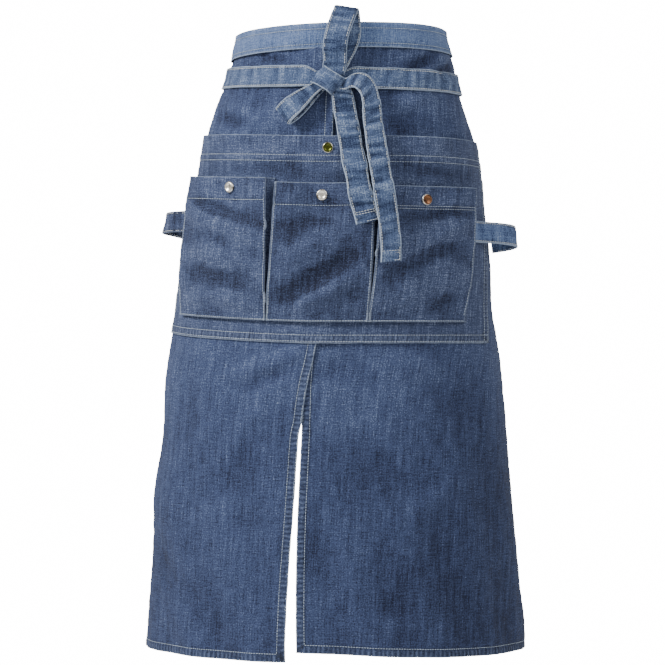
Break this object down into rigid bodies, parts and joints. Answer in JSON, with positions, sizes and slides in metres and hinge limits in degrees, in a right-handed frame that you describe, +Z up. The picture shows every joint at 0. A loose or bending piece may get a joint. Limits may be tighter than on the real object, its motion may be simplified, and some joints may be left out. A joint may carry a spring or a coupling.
{
  "type": "waist apron",
  "caption": "Long denim waist apron with a front slit, a snap-closed pocket panel with bellows pockets, side tool loops and ties in a front bow, in its worn shape",
  "frame": {"origin": "middle of the waist hollow, at the waistband's mid-height", "axes": "+Z up along the wearer, -Y out of the wearer's front, +X to the right as seen from the front"},
  "size_m": [0.4522, 0.2905, 0.7534],
  "materials": {
    "denim": "washed indigo denim",
    "denim_worn": "washed indigo denim, faded",
    "snap_nickel": "polished nickel",
    "snap_brass": "aged brass"
  },
  "bodies": {
    "root": {"waistband": "denim_worn", "skirt_left": "denim", "skirt_right": "denim", "flap_left": "denim", "flap_right": "denim", "pocket_panel": "denim", "pocket_left": "denim", "pocket_middle": "denim", "pocket_right": "denim", "tool_loop_left": "denim", "tool_loop_right": "denim", "tie_left": "denim_worn", "tie_right": "denim_worn", "bow_knot": "denim_worn", "bow_loop_upper": "denim_worn", "bow_loop_lower": "denim_worn", "tail_short": "denim_worn", "tail_long": "denim_worn", "snap_panel": "snap_brass", "snap_left": "snap_nickel", "snap_middle": "snap_nickel", "snap_right": "snap_nickel", "stud_left": "snap_nickel", "stud_middle": "snap_nickel", "stud_right": "snap_nickel"}
  },
  "joints": []
}
